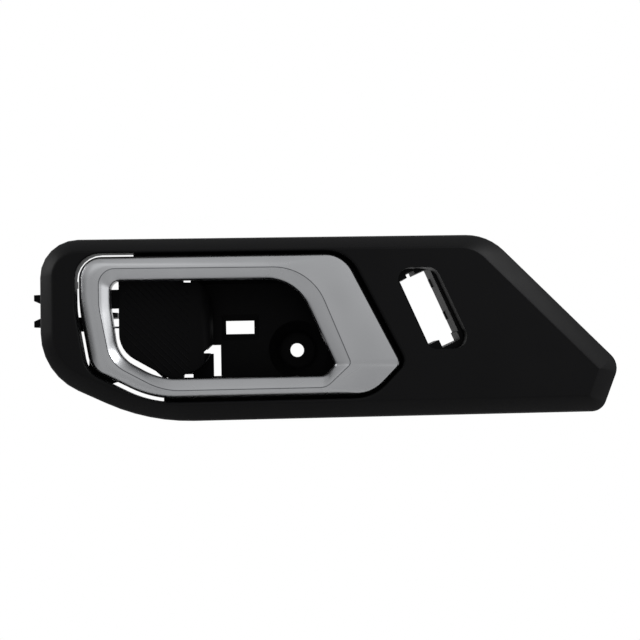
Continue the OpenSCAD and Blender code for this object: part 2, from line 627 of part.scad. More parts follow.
// Hinge hardware
module hinge_pin() color([0.62, 0.63, 0.65]) on_door() {
    bar_y(-hinge_x, hinge_z, [pin_low, pin_top - 0.4], pin_d / 2);
    translate([-hinge_x, pin_top, hinge_z]) rotate([90, 0, 0])
        cylinder(h = 0.4, r1 = pin_d / 2 - 0.4, r2 = pin_d / 2);
}
module pin_retainer() color([0.5, 0.5, 0.52]) on_door() difference() {
    bar_y(-hinge_x, hinge_z, [ear_up[1], ear_up[1] + 0.6], 2.5);
    bar_y(-hinge_x, hinge_z, [ear_up[1] - over, ear_up[1] + 1.6], pin_d / 2);
    for (a = [30:120:270]) translate([-hinge_x, ear_up[1], hinge_z]) rotate([0, a, 0])
        block([1.2, 2], [-over, over], [-0.35, 0.35]);
}

// Return spring: a coil round the pin with one leg on the bowl and one on the lever.
coil_r = pin_d / 2 + wire_d / 2 + 0.12;
spring_step = 20;
spring_sides = 8;
spring_pitch = (spring_y[1] - spring_y[0] - wire_d) / spring_turns;
fixed_leg = 9;
fixed_fall = 5.3;
moving_leg = 2.8;
function coil_point(a) = [-hinge_x + coil_r * cos(a), spring_y[0] + wire_d / 2 + spring_pitch * a / 360,
    hinge_z + coil_r * sin(a)];
coil_end = 360 * spring_turns - 90;
spring_path = concat([coil_point(90) + [-moving_leg, -spring_pitch / 4, 0]],
    [for (a = [90:spring_step:coil_end]) coil_point(a)],
    [coil_point(coil_end) + [fixed_leg, 0.1, -fixed_fall]]);
function path_dir(p, i) = unit(p[min(i + 1, len(p) - 1)] - p[max(i - 1, 0)]);
function wire_ring(p, i) =
    let (t = path_dir(p, i), side = unit(cross(t, [0, 1, 0])), up = cross(side, t))
    [for (k = [0:spring_sides - 1]) p[i] + wire_d / 2 * (cos(k * 360 / spring_sides) * side
        + sin(k * 360 / spring_sides) * up)];
module sweep(p) {
    m = len(p);
    n = spring_sides;
    polyhedron([for (i = [0:m - 1]) each wire_ring(p, i)], concat(wall_faces(n, m - 1, m),
        [[for (j = [0:n - 1]) n - 1 - j]], [[for (j = [0:n - 1]) (m - 1) * n + j]]), convexity = 8);
}
module return_spring() color([0.55, 0.56, 0.58]) on_door() sweep(spring_path);

// Rubber stops
module rest_bumper(i) on_door() {
    translate([bumpers[i][0], bumpers[i][1], flange_z - 2.2]) cylinder(h = 2.2, r = bumper_r);
    translate([bumpers[i][0], bumpers[i][1], flange_z])
        cylinder(h = ring_back_z - flange_z - seat_gap, r1 = bumper_r + 0.8, r2 = bumper_r + 0.2);
}
module rest_bumper_upper() color([0.12, 0.12, 0.12]) rest_bumper(0);
module rest_bumper_lower() color([0.12, 0.12, 0.12]) rest_bumper(1);
module open_stop_pad() color([0.12, 0.12, 0.12]) on_door() along_y([crank_y - 1, crank_y + crank_t + 1])
    in_open_lever() translate([nose_x + stop_gap, -24]) square([stop_t, 6.5]);

// Screws
module screw(p, seat, len_, d, head_d, head_h) translate([p[0], p[1], seat]) {
    translate([0, 0, -head_h]) difference() {
        cylinder(h = head_h, d1 = head_d - 0.6, d2 = head_d);
        for (a = [0, 90]) rotate([0, 0, a])
            block([-head_d * 0.3, head_d * 0.3], [-0.3, 0.3], [-over, head_h * 0.6]);
    }
    cylinder(h = len_ - 0.6, d = d);
    translate([0, 0, len_ - 0.6]) cylinder(h = 0.6, d1 = d, d2 = d * 0.5);
}
module bowl_screw(i) color([0.3, 0.3, 0.32]) on_door()
    screw(bowl_screws[i], bowl_screw_seats[i], screw_plate_t[i] + 6.5, screw_d, screw_head_d, 1.8);
module shell_screw(i) color([0.3, 0.3, 0.32]) on_door()
    screw(shell_screws[i], ring_back_z + 1.2, core_t - 1.2 + 3.5, tiny_d, 3.4, 1.1);

// Spring clips pressed over the ends of the towers
module panel_clip(i) color([0.55, 0.56, 0.6]) on_door() {
    end_z = front_z - tower_depth;
    w = tower_w - 2;
    y0 = clips[i][1] - tower_t / 2;
    y1 = clips[i][1] + tower_t / 2;
    translate([clips[i][0] - w / 2, 0, 0]) rotate([90, 0, 90]) linear_extrude(w)
        polygon([[y0, end_z], [y1, end_z], [y1, end_z + 9], [y1 + clip_t, end_z + 9.4],
            [y1 + 2.6, end_z + 5.5], [y1 + 2.1, end_z + 5.2], [y1 + clip_t, end_z + 7.6],
            [y1 + clip_t, end_z - clip_t], [y0 - clip_t, end_z - clip_t], [y0 - clip_t, end_z + 7.6],
            [y0 - 2.1, end_z + 5.2], [y0 - 2.6, end_z + 5.5], [y0 - clip_t, end_z + 9.4], [y0, end_z + 9]]);
}

bezel();
finger_bowl();
lever_shell();
lever_core();
hinge_pin();
pin_retainer();
return_spring();
rest_bumper_upper();
rest_bumper_lower();
open_stop_pad();
bowl_screw(0);  // bowl_screw_1
bowl_screw(1);  // bowl_screw_2
bowl_screw(2);  // bowl_screw_3
bowl_screw(3);  // bowl_screw_4
shell_screw(0);  // shell_screw_1
shell_screw(1);  // shell_screw_2
shell_screw(2);  // shell_screw_3
shell_screw(3);  // shell_screw_4
panel_clip(0);  // panel_clip_1
panel_clip(1);  // panel_clip_2
panel_clip(2);  // panel_clip_3
panel_clip(3);  // panel_clip_4
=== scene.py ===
import bpy
import bmesh
import math
from mathutils import Matrix, Vector


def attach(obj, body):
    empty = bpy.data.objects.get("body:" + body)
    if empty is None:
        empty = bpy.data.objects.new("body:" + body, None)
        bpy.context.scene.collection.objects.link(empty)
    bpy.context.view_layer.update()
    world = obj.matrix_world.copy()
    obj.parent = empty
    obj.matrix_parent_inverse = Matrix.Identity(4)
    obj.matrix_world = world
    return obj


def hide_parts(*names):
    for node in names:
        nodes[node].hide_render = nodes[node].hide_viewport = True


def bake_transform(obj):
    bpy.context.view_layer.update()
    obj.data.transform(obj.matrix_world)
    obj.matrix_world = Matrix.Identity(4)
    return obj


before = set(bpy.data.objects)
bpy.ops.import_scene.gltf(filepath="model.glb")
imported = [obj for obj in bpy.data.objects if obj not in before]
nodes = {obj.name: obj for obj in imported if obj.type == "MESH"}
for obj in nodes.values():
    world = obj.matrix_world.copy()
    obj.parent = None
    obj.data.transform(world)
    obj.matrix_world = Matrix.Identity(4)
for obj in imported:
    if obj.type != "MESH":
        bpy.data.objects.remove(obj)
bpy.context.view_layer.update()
scene = bpy.context.scene
mm = 0.001
faceZ = 36  # the bezel's face in working millimetres: x right, y up, z towards the viewer


def onDoor(x, y, z):
    # working millimetres to metres on the door
    return Vector((x * mm, -z * mm, y * mm))


scene.view_settings.view_transform = "Standard"

view = {
    "place": (-0.024948, -0.514174, -0.013121),
    "azimuth": -4.0,
    "elevation": -3.0,
    "roll": 1.23,
    "lens": 62.1,
    "sensor": 36,
    "near": 0.01,
}


def makeCamera():
    cam = bpy.data.objects.new("photoCamera", bpy.data.cameras.new("photoCamera"))
    scene.collection.objects.link(cam)
    a, e, r = (math.radians(view[k]) for k in ("azimuth", "elevation", "roll"))
    back = Vector((math.sin(a) * math.cos(e), -math.cos(a) * math.cos(e), math.sin(e)))
    right = (-back).cross(Vector((0, 0, 1))).normalized()
    up = right.cross(-back)
    sideways = right * math.cos(r) - up * math.sin(r)
    upward = right * math.sin(r) + up * math.cos(r)
    turn = Matrix((sideways, upward, back)).transposed()
    cam.matrix_world = Matrix.Translation(Vector(view["place"])) @ turn.to_4x4()
    cam.data.lens = view["lens"]
    cam.data.sensor_width = view["sensor"]
    cam.data.clip_start = view["near"]
    scene.camera = cam


# lamps in metres and watts
lamps = {
    "rightBox": {"at": (0.85, -0.25, 0.12), "aim": (0.0, -0.03, 0.01), "size": (0.4, 0.5), "watts": 0.8},
    "upperRight": {"at": (0.33, -0.19, 0.27), "aim": (0.11, -0.03, 0.02), "size": (0.14, 0.14), "watts": 1.1},
    "leftRim": {"at": (-0.9, 0.02, 0.34), "aim": (-0.05, -0.03, 0.01), "size": (0.35, 0.5), "watts": 3.6},
    "leftCard": {"at": (-0.34, -0.68, 0.5), "aim": (-0.05, -0.03, 0), "size": (0.6, 0.4), "watts": 0.5},
}
skyLight = 0.8  # strength of the room's plain light
# tone of the room from the far right, 0, past straight ahead, 0.5, to the far left, 1
roomTones = ((0.0, 0.8), (0.38, 0.8), (0.5, 1.0), (0.56, 0.97), (0.64, 0.74), (0.87, 0.86), (0.94, 0.5),
             (0.98, 0.2), (1.0, 0.18))
lowTone = 0.95  # tone of the room straight below


def makeLamps():
    for name, l in lamps.items():
        data = bpy.data.lights.new(name, "AREA")
        data.shape = "RECTANGLE"
        data.size, data.size_y = l["size"]
        data.energy = l["watts"]
        lamp = bpy.data.objects.new(name, data)
        scene.collection.objects.link(lamp)
        lamp.location = l["at"]
        lamp.rotation_euler = (Vector(l["aim"]) - Vector(l["at"])).to_track_quat("-Z", "Y").to_euler()


def mathNode(tree, operation, a, b):
    n = tree.nodes.new("ShaderNodeMath")
    n.operation = operation
    tree.links.new(a, n.inputs[0])
    tree.links.new(b, n.inputs[1])
    return n.outputs[0]


def rangeNode(tree, source, start, end):
    # start and end are each a pair, from the first value to the last
    n = tree.nodes.new("ShaderNodeMapRange")
    n.inputs["From Min"].default_value, n.inputs["From Max"].default_value = start
    n.inputs["To Min"].default_value, n.inputs["To Max"].default_value = end
    tree.links.new(source, n.inputs["Value"])
    return n


def makeRoom():
    # the camera sees plain white, and the metal mirrors a room that is darker at the far left and below
    world = bpy.data.worlds.new("whiteSweep")
    scene.world = world
    world.use_nodes = True
    tree = world.node_tree
    tree.nodes.clear()
    path = tree.nodes.new("ShaderNodeLightPath").outputs
    where = tree.nodes.new("ShaderNodeTexCoord")
    way = tree.nodes.new("ShaderNodeSeparateXYZ")
    tree.links.new(where.outputs["Generated"], way.inputs[0])
    across = rangeNode(tree, way.outputs["X"], (1, -1), (0, 1))
    below = rangeNode(tree, way.outputs["Z"], (0, -1), (1, lowTone))
    shade = tree.nodes.new("ShaderNodeValToRGB")
    stops = shade.color_ramp.elements
    while len(stops) < len(roomTones):
        stops.new(1)
    for stop, (side, tone) in zip(stops, roomTones):
        stop.position = side
        stop.color = (tone, tone, tone, 1)
    tree.links.new(across.outputs["Result"], shade.inputs["Fac"])
    dimmed = mathNode(tree, "MULTIPLY", shade.outputs["Color"], below.outputs["Result"])
    colour = mathNode(tree, "MAXIMUM", dimmed, path["Is Camera Ray"])
    seen = mathNode(tree, "MAXIMUM", path["Is Camera Ray"], path["Is Glossy Ray"])
    seen = mathNode(tree, "MAXIMUM", seen, path["Is Transmission Ray"])
    level = rangeNode(tree, seen, (0, 1), (skyLight, 1))
    sky = tree.nodes.new("ShaderNodeBackground")
    out = tree.nodes.new("ShaderNodeOutputWorld")
    tree.links.new(colour, sky.inputs["Color"])
    tree.links.new(level.outputs["Result"], sky.inputs["Strength"])
    tree.links.new(sky.outputs[0], out.inputs["Surface"])


makeCamera()
makeLamps()
makeRoom()
print("camera and light")


def newGroup(name, sizes, results):
    tree = bpy.data.node_groups.new(name, "ShaderNodeTree")
    for label, value in sizes.items():
        kind = "NodeSocketVector" if value is None else "NodeSocketFloat"
        socket = tree.interface.new_socket(label, in_out="INPUT", socket_type=kind)
        if value is not None:
            socket.default_value = value
    for label in results:
        tree.interface.new_socket(label, in_out="OUTPUT", socket_type="NodeSocketFloat")
    return tree, tree.nodes.new("NodeGroupInput"), tree.nodes.new("NodeGroupOutput")


def noiseNode(tree, source, scale, detail):
    n = tree.nodes.new("ShaderNodeTexNoise")
    n.inputs["Detail"].default_value = detail
    tree.links.new(source.outputs["Place"], n.inputs["Vector"])
    tree.links.new(source.outputs[scale], n.inputs["Scale"])
    return n


def makeGrain():
    # small pits with a fine noise between them, and wide patches for the gloss
    inputs = {"Place": None, "Pits per metre": 2600.0, "Pit share": 0.6, "Patch per metre": 40.0}
    tree, source, out = newGroup("mouldGrain", inputs, ("Height", "Patch"))
    pits = tree.nodes.new("ShaderNodeTexVoronoi")
    pits.feature = "SMOOTH_F1"
    tree.links.new(source.outputs["Place"], pits.inputs["Vector"])
    tree.links.new(source.outputs["Pits per metre"], pits.inputs["Scale"])
    fine = noiseNode(tree, source, "Pits per metre", 2.0)
    both = tree.nodes.new("ShaderNodeMath")
    both.operation = "MULTIPLY_ADD"
    tree.links.new(pits.outputs["Distance"], both.inputs[0])
    tree.links.new(source.outputs["Pit share"], both.inputs[1])
    tree.links.new(fine.outputs["Fac"], both.inputs[2])
    patch = noiseNode(tree, source, "Patch per metre", 4.0)
    tree.links.new(both.outputs[0], out.inputs["Height"])
    tree.links.new(patch.outputs["Fac"], out.inputs["Patch"])
    return tree


def makeHaze():
    # fine unevenness of a satin metal, and wide clouds for its tone
    inputs = {"Place": None, "Haze per metre": 1500.0, "Cloud per metre": 30.0}
    tree, source, out = newGroup("satinHaze", inputs, ("Height", "Cloud"))
    haze = noiseNode(tree, source, "Haze per metre", 5.0)
    cloud = noiseNode(tree, source, "Cloud per metre", 2.0)
    tree.links.new(haze.outputs["Fac"], out.inputs["Height"])
    tree.links.new(cloud.outputs["Fac"], out.inputs["Cloud"])
    return tree


grainGroup = makeGrain()
hazeGroup = makeHaze()


def newMaterial(name):
    mat = bpy.data.materials.new(name)
    mat.use_nodes = True
    tree = mat.node_tree
    tree.nodes.clear()
    skin = tree.nodes.new("ShaderNodeBsdfPrincipled")
    out = tree.nodes.new("ShaderNodeOutputMaterial")
    tree.links.new(skin.outputs[0], out.inputs["Surface"])
    where = tree.nodes.new("ShaderNodeTexCoord")
    place = tree.nodes.new("ShaderNodeMapping")
    tree.links.new(where.outputs["Object"], place.inputs["Vector"])
    return mat, tree, skin, place


def mixColour(tree, factor, dark, light, target):
    blend = tree.nodes.new("ShaderNodeMix")
    blend.data_type = "RGBA"
    blend.inputs["A"].default_value = (*dark, 1)
    blend.inputs["B"].default_value = (*light, 1)
    tree.links.new(factor, blend.inputs["Factor"])
    tree.links.new(blend.outputs["Result"], target)


noiseSpan = (0.2, 0.8)  # nearly all of a noise lies between these


def mixRange(tree, factor, ends, target):
    span = rangeNode(tree, factor, noiseSpan, ends)
    span.interpolation_type = "SMOOTHSTEP"
    tree.links.new(span.outputs["Result"], target)


def addBump(tree, height, skin, strength, depth):
    bump = tree.nodes.new("ShaderNodeBump")
    bump.inputs["Strength"].default_value = strength
    bump.inputs["Distance"].default_value = depth * mm
    tree.links.new(height, bump.inputs["Height"])
    tree.links.new(bump.outputs["Normal"], skin.inputs["Normal"])


# pits and haze are per metre, depths of the bumps in millimetres
plastics = {
    "blackBezelPlastic": {"dark": (0.0018, 0.0018, 0.0021), "light": (0.0027, 0.0027, 0.003), "shine": 0.07,
                          "rough": (0.42, 0.5), "pits": 2600.0, "depth": 0.03, "strength": 0.35},
    "blackBowlPlastic": {"dark": (0.0011, 0.0011, 0.0013), "light": (0.0018, 0.0018, 0.002), "shine": 0.042,
                         "rough": (0.5, 0.6), "pits": 3000.0, "depth": 0.03, "strength": 0.3},
    "blackCorePlastic": {"dark": (0.004, 0.004, 0.0045), "light": (0.006, 0.006, 0.0065), "rough": (0.4, 0.5),
                         "shine": 0.15, "pits": 2000.0, "depth": 0.02, "strength": 0.2},
    "stopRubber": {"dark": (0.006, 0.006, 0.006), "light": (0.01, 0.01, 0.01), "rough": (0.75, 0.85),
                   "shine": 0.2, "pits": 1500.0, "depth": 0.04, "strength": 0.4},
}
metals = {
    "satinChrome": {"dark": (0.3, 0.305, 0.315), "light": (0.38, 0.385, 0.395), "rough": (0.26, 0.31),
                    "haze": 1500.0, "depth": 0.004, "strength": 0.15},
    "groundSteel": {"dark": (0.42, 0.43, 0.45), "light": (0.56, 0.57, 0.58), "rough": (0.25, 0.35),
                    "haze": 2500.0, "depth": 0.006, "strength": 0.2},
    "springWire": {"dark": (0.28, 0.29, 0.31), "light": (0.4, 0.41, 0.43), "rough": (0.35, 0.5),
                   "haze": 2500.0, "depth": 0.008, "strength": 0.25},
    "blackZinc": {"dark": (0.06, 0.06, 0.065), "light": (0.12, 0.12, 0.125), "rough": (0.35, 0.5),
                  "haze": 2500.0, "depth": 0.008, "strength": 0.25},
}


def makePlastic(name, p):
    mat, tree, skin, place = newMaterial(name)
    grain = tree.nodes.new("ShaderNodeGroup")
    grain.node_tree = grainGroup
    grain.inputs["Pits per metre"].default_value = p["pits"]
    tree.links.new(place.outputs[0], grain.inputs["Place"])
    mixColour(tree, grain.outputs["Patch"], p["dark"], p["light"], skin.inputs["Base Color"])
    mixRange(tree, grain.outputs["Patch"], p["rough"], skin.inputs["Roughness"])
    skin.inputs["Specular IOR Level"].default_value = p["shine"]
    addBump(tree, grain.outputs["Height"], skin, p["strength"], p["depth"])
    return mat


def makeMetal(name, p):
    mat, tree, skin, place = newMaterial(name)
    haze = tree.nodes.new("ShaderNodeGroup")
    haze.node_tree = hazeGroup
    haze.inputs["Haze per metre"].default_value = p["haze"]
    tree.links.new(place.outputs[0], haze.inputs["Place"])
    mixColour(tree, haze.outputs["Cloud"], p["dark"], p["light"], skin.inputs["Base Color"])
    mixRange(tree, haze.outputs["Cloud"], p["rough"], skin.inputs["Roughness"])
    skin.inputs["Metallic"].default_value = 1
    addBump(tree, haze.outputs["Height"], skin, p["strength"], p["depth"])
    return mat


finish = {name: makePlastic(name, p) for name, p in plastics.items()}
finish.update({name: makeMetal(name, p) for name, p in metals.items()})
print("finishes:", len(finish))


def cornerDirs(c, i):
    a, b, d = (Vector(c[k % len(c)][:2]) for k in (i - 1, i, i + 1))
    return (b - a).normalized(), (d - b).normalized()


leastRound = 0.4  # smallest corner radius in millimetres


def movedIn(c, gaps):
    # corners moved in by one distance for each side; a side starts at the corner of its number
    n = len(c)
    gaps = [gaps] * n if isinstance(gaps, (int, float)) else gaps
    out = []
    for i in range(n):
        u, v = cornerDirs(c, i)
        a, b = gaps[i - 1], gaps[i]
        p, q = Vector((u.y, -u.x)), Vector((v.y, -v.x))
        det = p.x * q.y - p.y * q.x
        out.append((c[i][0] + (a * q.y - b * p.y) / det, c[i][1] + (p.x * b - q.x * a) / det,
                    max(c[i][2] - (a + b) / 2, leastRound)))
    return out


def between(a, b, t):
    # t is one share for all corners, or one for each
    shares = [t] * len(a) if isinstance(t, (int, float)) else t
    return [tuple(p * (1 - s) + q * s for p, q in zip(x, y)) for x, y, s in zip(a, b, shares)]


def outlinePoints(c, arcSteps, sideSteps):
    points = []
    for i in range(len(c)):
        u, v = cornerDirs(c, i)
        turn = math.acos(max(-1, min(1, u.dot(v))))
        inward = Vector((u.y, -u.x))
        r = c[i][2]
        centre = Vector(c[i][:2]) - u * r * math.tan(turn / 2) + inward * r
        start = math.atan2(-inward.y, -inward.x)
        for k in range(arcSteps + 1):
            a = start - turn * k / arcSteps
            points.append(centre + Vector((math.cos(a), math.sin(a))) * r)
        points.append(None)
    filled = []
    for k, p in enumerate(points):
        if p is not None:
            filled.append(p)
            continue
        a, b = points[k - 1], points[(k + 1) % len(points)]
        filled += [a.lerp(b, j / (sideSteps + 1)) for j in range(1, sideSteps + 1)]
    return filled


def insideOutline(c, x, y):
    pts = outlinePoints(c, 8, 0)
    inside = False
    for a, b in zip(pts, pts[1:] + pts[:1]):
        if (a.y > y) != (b.y > y) and x < a.x + (y - a.y) / (b.y - a.y) * (b.x - a.x):
            inside = not inside
    return inside


def meshFromRows(name, rows, arcSteps, sideSteps, around):
    # skin over rows of corners and heights, joined round as one section or closed by a lid at each end
    body = bmesh.new()
    rings = []
    for c, z in rows:
        rings.append([body.verts.new(onDoor(p.x, p.y, z)) for p in outlinePoints(c, arcSteps, sideSteps)])
    n = len(rings[0])
    for low, high in zip(rings, rings[1:] + (rings[:1] if around else [])):
        for j in range(n):
            body.faces.new((low[j], low[(j + 1) % n], high[(j + 1) % n], high[j]))
    if around:
        bmesh.ops.remove_doubles(body, verts=body.verts, dist=1e-6)
    else:
        body.faces.new(rings[0])
        body.faces.new(rings[-1])
    bmesh.ops.recalc_face_normals(body, faces=body.faces)
    mesh = bpy.data.meshes.new(name)
    body.to_mesh(mesh)
    body.free()
    return mesh


def smoothed(mesh, sharpAngle):
    mesh.shade_smooth()
    mesh.set_sharp_from_angle(angle=math.radians(sharpAngle))


def addPiece(name, mesh, mat, body, stands=()):
    piece = bpy.data.objects.new(name, mesh)
    scene.collection.objects.link(piece)
    if mat is not None:
        mesh.materials.clear()
        mesh.materials.append(finish[mat])
    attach(piece, body)
    if stands:
        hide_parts(*stands)
    return piece


ring = {
    # corners clockwise from the top left: right, up, corner radius
    "outer": [(-95.2, 41.2, 9.8), (19.4, 41.2, 14), (43.9, -7.6, 4), (30.6, -20.9, 18), (-63.8, -20.9, 45),
              (-91, -7.1, 11), (-95.2, 17, 45)],
    "crease": [(-86.4, 35.6, 7), (4.5, 35.2, 24), (21.6, -7.2, 2.5), (10.5, -17.3, 7), (-59.6, -17.3, 30),
               (-81.8, -5.1, 15), (-86.4, 19.5, 40)],
    "inner": [(-82, 30.8, 4.2), (-1.4, 30.7, 20), (15.2, -7.2, 2), (10.6, -12.3, 5), (-61.2, -12.2, 30),
              (-79, -2.1, 15), (-82, 20, 40)],
    # heights towards the viewer, and how the side rounds over into the top
    "back": 28.0, "backRound": 0.25, "sideHeights": (29, 30, 31, 32, 33, 33.5),
    "edge": 35.5, "edgeRound": 0.6, "edgeBend": 2.4, "edgeSteps": 5, "draft": 0.025,
    "top": 37.9, "climb": 4.0, "topSteps": 12,
    # the hinge's height and distance from the left side, the radius of the upper rim's path, its roundness
    "hinge": 30.0, "roll": 8.7, "swing": 9.5, "rim": 2.6,
    # distance in from the crease and depth below the top
    "groove": ((-0.28, 0.03), (-0.2, 0.02), (0, 0.3), (0.2, 0.04), (0.28, 0.1)),
    # the slope from the crease down to the inner side
    "fall": 3.14, "fallBend": 1.15, "fallSteps": 8,
    # distance out from the inner side and height
    "lip": ((0.3, 34.6), (0.12, 34.35), (0.03, 34.1), (0, 33.8)),
    # the hollow behind, which the core fills
    "wall": 1.8, "cavity": 32.6, "roof": 1.9, "leftRoom": 1, "leftStep": 31.3,
    "arcSteps": 14, "sideSteps": 8, "sharp": 32,
    "fold": {"from": (21.6, -7.2), "to": (43.9, -7.6), "width": 1.3, "depth": 0.45, "start": 6, "below": 0.6},
}


def leftSides(plain, low, high):
    # one value for each of the ring's seven sides, of which the last two are on the left
    return [plain] * 5 + [low, high]


def ringSide(r, z, extra):
    # the left side rolls round the hinge axis, so that it clears the bezel as the lever swings
    rise = max(z - r["hinge"], 0)
    low = r["roll"] - math.sqrt(r["roll"] ** 2 - rise ** 2)
    high = max(0, r["roll"] - math.sqrt(r["swing"] ** 2 - rise ** 2))
    return movedIn(r["outer"], leftSides(r["draft"] * rise + extra, low, high)), z


def outsideRows(r):
    rows = [(movedIn(r["outer"], r["backRound"]), r["back"]), (r["outer"], r["back"] + r["backRound"])]
    rows += [ringSide(r, z, 0) for z in r["sideHeights"]]
    start = r["sideHeights"][-1]
    for k in range(1, r["edgeSteps"] + 1):
        t = k / r["edgeSteps"]
        rows.append(ringSide(r, start + (r["edge"] - start) * t, r["edgeRound"] * t ** r["edgeBend"]))
    return rows


def topRows(r, rim):
    rows = []
    full = r["top"] - r["edge"]
    for k in range(1, r["topSteps"]):
        t = k / r["topSteps"]
        rise = r["climb"] * t - (r["climb"] - full) * t * t
        # the left limb climbs sooner, which gives it a rounder rim
        left = 1 - (1 - rise / full) ** (1 / r["rim"])
        shares = [left] + [t] * 4 + [left, left]
        rows.append((between(rim, r["crease"], shares), r["edge"] + rise))
    return rows


def insideRows(r):
    rows = [(movedIn(r["crease"], gap), r["top"] - depth) for gap, depth in r["groove"]]
    start, height = rows[-1]
    lip = [(movedIn(r["inner"], -gap), z) for gap, z in r["lip"]]
    for k in range(1, r["fallSteps"]):
        t = k / r["fallSteps"]
        rows.append((between(start, lip[0][0], t), height - r["fall"] * t ** r["fallBend"]))
    return rows + lip + [(r["inner"], r["back"])]


def hollowRows(r):
    inWall, outWall = movedIn(r["inner"], -r["wall"]), movedIn(r["outer"], r["wall"])
    leftWall = movedIn(outWall, leftSides(0, r["leftRoom"], r["leftRoom"]))
    return [(inWall, r["back"]), (inWall, r["cavity"]), (r["crease"], r["top"] - r["roof"]),
            (leftWall, r["cavity"]), (outWall, r["leftStep"]), (outWall, r["back"])]


def ringRows(r):
    outside = outsideRows(r)
    return outside + topRows(r, outside[-1][0]) + insideRows(r) + hollowRows(r)


def pressFold(mesh, f, lowest):
    # a shallow valley runs from the crease's corner to the ring's right corner
    a, b = Vector(f["from"]), Vector(f["to"])
    run = b - a
    for v in mesh.vertices:
        x, y, z = v.co.x / mm, v.co.z / mm, -v.co.y / mm
        t = (Vector((x, y)) - a).dot(run) / run.length_squared
        if z > lowest and t > 0:
            off = (Vector((x, y)) - a - run * t).length / f["width"]
            v.co.y += f["depth"] * min(1, t * f["start"]) * math.exp(-off * off) * mm


def makeRing():
    mesh = meshFromRows("chromeRing", ringRows(ring), ring["arcSteps"], ring["sideSteps"], True)
    pressFold(mesh, ring["fold"], ring["edge"] - ring["fold"]["below"])
    smoothed(mesh, ring["sharp"])
    return addPiece("chromeRing", mesh, "satinChrome", "lever", ["lever_shell"])


chromeRing = makeRing()
print("chrome ring:", len(chromeRing.data.polygons), "faces")


# the soft edge of the lever opening: corners as the CAD has them and the gap beside each side
opening = {"corners": [(-94.4, 41.2, 9), (19.4, 41.2, 14), (43.9, -7.6, 4), (30.6, -20.9, 18),
                       (-63.8, -20.9, 45), (-90.3, -7.3, 10), (-94.4, 17, 45)],
           "gaps": [1.3, 2.2, 1.3, 1.3, 1.9, 2.2, 2.4], "round": 1.2, "steps": 7, "arcSteps": 6,
           "spare": 1, "clear": 0.6, "lead": 0.1, "leadClear": 0.03}  # how the cutter starts off the wall


def edgeCutter(name, o):
    # stays clear of the opening's wall, then flares out in a quarter circle to the face
    r, c = o["round"], movedIn(o["corners"], [-g for g in o["gaps"]])
    rows = [(movedIn(c, o["clear"]), faceZ - r - o["spare"]),
            (movedIn(c, o["leadClear"]), faceZ - r - o["lead"])]
    for k in range(1, o["steps"] + 1):
        a = math.radians(90 * k / o["steps"])
        rows.append((movedIn(c, -r * (1 - math.cos(a))), faceZ - r + r * math.sin(a)))
    rows.append((movedIn(c, -r), faceZ + o["spare"]))
    return meshFromRows(name, rows, o["arcSteps"], 0, False)


def cutAway(mesh, cutter):
    # the copy loses what lies inside the cutter
    holder = bpy.data.objects.new("softened", mesh)
    tool = bpy.data.objects.new(cutter.name, cutter)
    for thing in (holder, tool):
        scene.collection.objects.link(thing)
    step = holder.modifiers.new(cutter.name, "BOOLEAN")
    step.operation = "DIFFERENCE"
    step.solver = "EXACT"
    step.object = tool
    look = bpy.context.evaluated_depsgraph_get()
    result = bpy.data.meshes.new_from_object(holder.evaluated_get(look))
    holder.modifiers.clear()
    for thing in (tool, holder):
        bpy.data.objects.remove(thing)
    return result


skins = {
    "bezelSkin": {"node": "bezel", "finish": "blackBezelPlastic", "slot": "black_plastic"},
    "bowlSkin": {"node": "finger_bowl", "finish": "blackBowlPlastic", "slot": "bowl_plastic"},
}
# merging distance in metres, sharp angle, how square to the door a flat face is, share of flat faces
skinShading = {"weld": 2e-6, "sharp": 24, "square": 0.99999, "weight": 80}


def skinFrom(name, p, s):
    body = bmesh.new()
    body.from_mesh(nodes[p["node"]].data)
    bmesh.ops.remove_doubles(body, verts=body.verts, dist=s["weld"])
    mesh = bpy.data.meshes.new(name)
    body.to_mesh(mesh)
    body.free()
    if p["node"] == "bezel":
        mesh = cutAway(mesh, edgeCutter("leverOpening", opening))
        mesh.name = name
    smoothed(mesh, s["sharp"])
    for face in mesh.polygons:
        # flat faces square to the door keep one even tone
        if abs(face.normal.y) > s["square"]:
            face.use_smooth = False
    piece = addPiece(name, mesh, p["finish"], "housing", [p["node"]])
    soft = piece.modifiers.new("flatFaces", "WEIGHTED_NORMAL")
    soft.keep_sharp = True
    soft.weight = s["weight"]
    print(name + ":", len(mesh.polygons), "faces")


for skinName, parts in skins.items():
    skinFrom(skinName, parts, skinShading)


